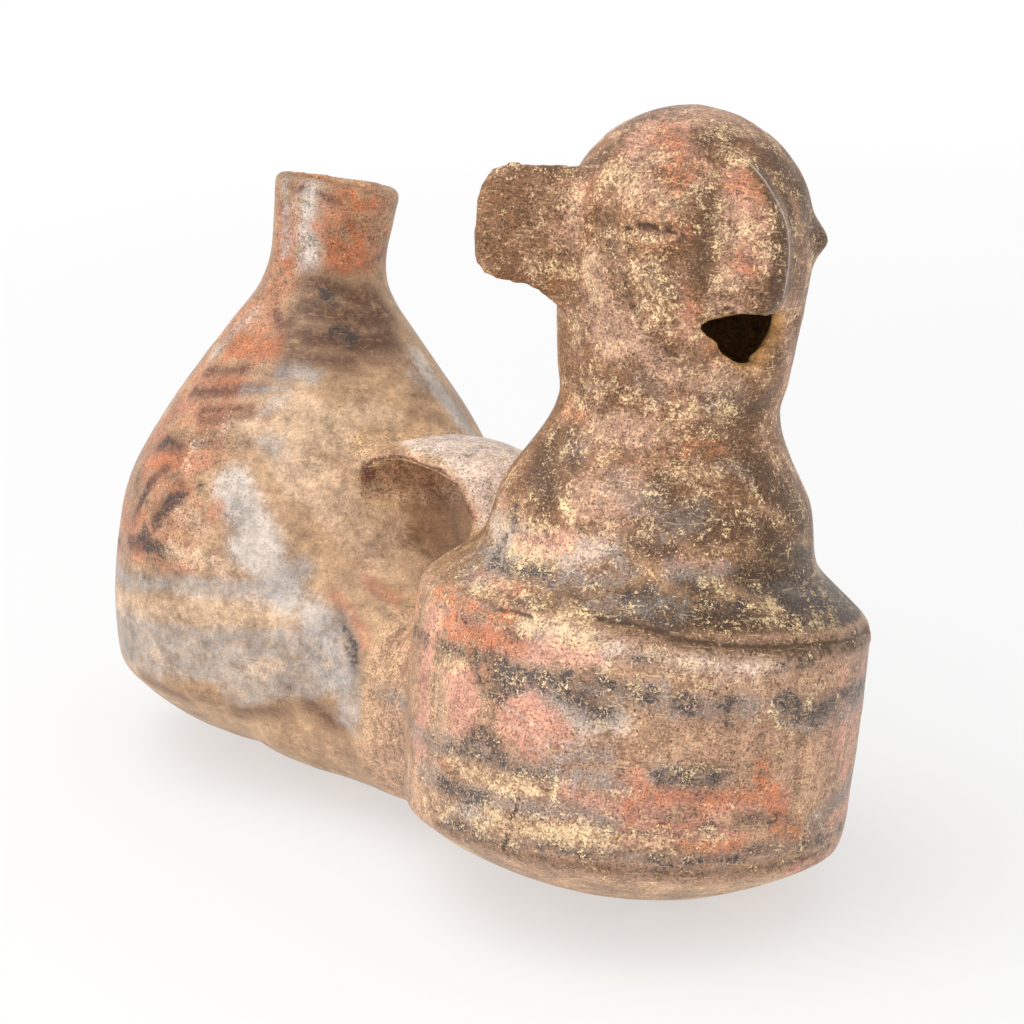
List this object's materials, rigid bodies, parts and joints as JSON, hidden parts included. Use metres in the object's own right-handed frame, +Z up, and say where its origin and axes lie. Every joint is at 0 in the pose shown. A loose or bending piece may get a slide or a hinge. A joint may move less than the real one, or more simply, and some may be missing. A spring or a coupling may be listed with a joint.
{
  "type": "double-chambered whistling vessel",
  "caption": "Hollow fired-clay whistling vessel: a drum chamber with a torso, head and open mouth, joined by a conduit and strap handle to a spouted chamber.",
  "frame": {"origin": "on the ground, under the middle of the bounding box", "axes": "+Z up, +Y from the figure's drum towards the spouted chamber, so the figure faces -Y"},
  "size_m": [0.1464, 0.2682, 0.2133],
  "materials": {
    "burnished_clay": "burnished, with worn resist paint"
  },
  "bodies": {
    "root": {"whistling_vessel": "burnished_clay"}
  },
  "joints": []
}
